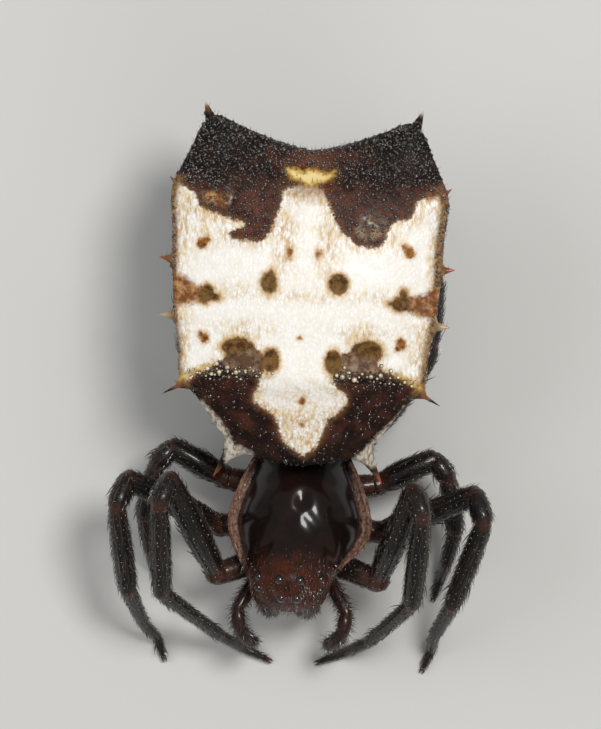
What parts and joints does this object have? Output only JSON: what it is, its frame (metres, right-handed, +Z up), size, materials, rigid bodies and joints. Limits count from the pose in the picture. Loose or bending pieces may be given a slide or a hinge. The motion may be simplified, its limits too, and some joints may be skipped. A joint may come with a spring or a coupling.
{
  "type": "micrathena aureola spider, still museum model",
  "caption": "Spiny orb weaver at rest: trapezoid shield abdomen with paired spines, glossy domed carapace, legs folded beside the head.",
  "frame": {"origin": "On the floor, under the middle of the animal's outline seen from above.", "axes": "+Z up, -Y where the head faces, +Y the tail end, +X the animal's left side."},
  "size_m": [0.0062, 0.009, 0.0036],
  "materials": {
    "shield": "cream white with black front and rear slopes, dark spots and fine glossy granules",
    "carapace": "very glossy dark brown dome with pale brown rims, reddish brown and finely hairy at the head",
    "limb": "black brown with rows of fine pale hairs and small granules",
    "eye": "glassy black",
    "mouthpart": "reddish brown with fine hairs",
    "silk_gland": "dark brown with fine hairs"
  },
  "bodies": {
    "root": {"abdomen": "shield", "prosoma": "carapace", "pedicel": "limb", "spinnerets": "silk_gland", "chelicera_left": "mouthpart", "chelicera_right": "mouthpart", "palp_left": "mouthpart", "palp_right": "mouthpart", "eye_middle_rear_left": "eye", "eye_middle_rear_right": "eye", "eye_middle_front_left": "eye", "eye_middle_front_right": "eye", "eye_side_rear_left": "eye", "eye_side_rear_right": "eye", "eye_side_front_left": "eye", "eye_side_front_right": "eye", "leg_1_left": "limb", "leg_1_right": "limb", "leg_2_left": "limb", "leg_2_right": "limb", "leg_3_left": "limb", "leg_3_right": "limb", "leg_4_left": "limb", "leg_4_right": "limb"}
  },
  "joints": []
}
